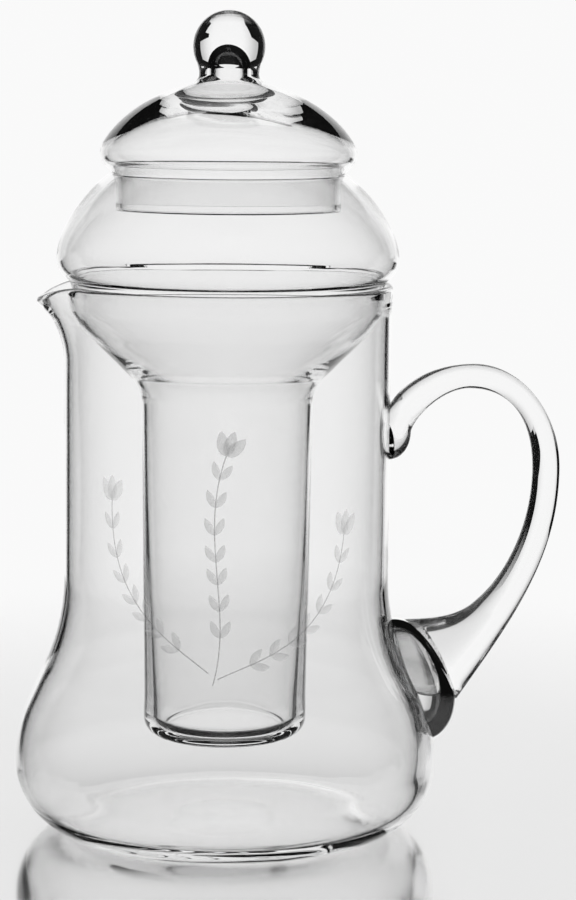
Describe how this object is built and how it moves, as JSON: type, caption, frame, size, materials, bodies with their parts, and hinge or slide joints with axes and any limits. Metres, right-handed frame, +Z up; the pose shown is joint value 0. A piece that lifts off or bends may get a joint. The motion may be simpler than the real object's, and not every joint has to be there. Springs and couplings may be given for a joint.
{
  "type": "cocktail pitcher",
  "caption": "Clear glass cocktail pitcher with pulled lip and applied handle, a lift-out ice insert whose bulb and tube hang in the mouth, and a domed lid with a ball knob.",
  "frame": {"origin": "centre of the pitcher's foot, on the table", "axes": "+Z up along the axis of the pitcher, the lip towards -X and the handle towards +X"},
  "size_m": [0.1992, 0.1552, 0.2992],
  "materials": {
    "clear_glass": "gloss"
  },
  "bodies": {
    "pitcher": {"pitcher_body": "clear_glass", "pitcher_handle": "clear_glass"},
    "insert": {"ice_insert": "clear_glass"},
    "cover": {"lid": "clear_glass", "lid_knob": "clear_glass"}
  },
  "joints": [
    {"name": "insert_lift", "type": "slide", "parent": "pitcher", "child": "insert", "axis": [0, 0, 1], "range_m": [0, 0.18]},
    {"name": "lid_lift", "type": "slide", "parent": "insert", "child": "cover", "axis": [0, 0, 1], "range_m": [0, 0.04]}
  ]
}
